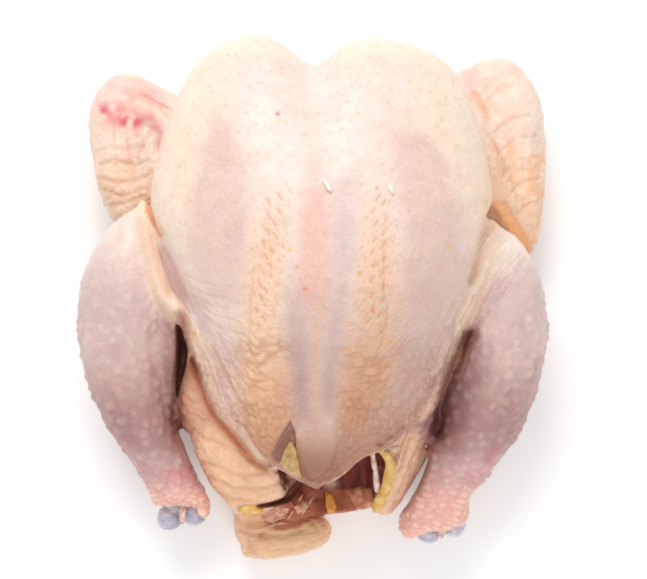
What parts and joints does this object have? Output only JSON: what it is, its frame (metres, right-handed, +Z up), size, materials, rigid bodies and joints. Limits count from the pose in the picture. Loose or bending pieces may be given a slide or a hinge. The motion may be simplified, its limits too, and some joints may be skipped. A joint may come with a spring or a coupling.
{
  "type": "raw chicken",
  "caption": "Whole raw chicken, plucked and drawn, lying on its back with legs drawn in, wing tips tucked behind the back and an open body cavity between the legs.",
  "frame": {"origin": "on the table, under the middle of the bird's box", "axes": "+Z up through the breast, +Y to the neck end, -Y to the tail, +X to the right of the picture, which is the bird's left"},
  "size_m": [0.214, 0.2384, 0.1085],
  "materials": {
    "chicken_skin": "moist raw skin, pale peach and lavender",
    "cartilage": "wet bluish-white cartilage"
  },
  "bodies": {
    "root": {"chicken": "chicken_skin", "shank_bone_left": "cartilage", "shank_bone_right": "cartilage"}
  },
  "joints": []
}
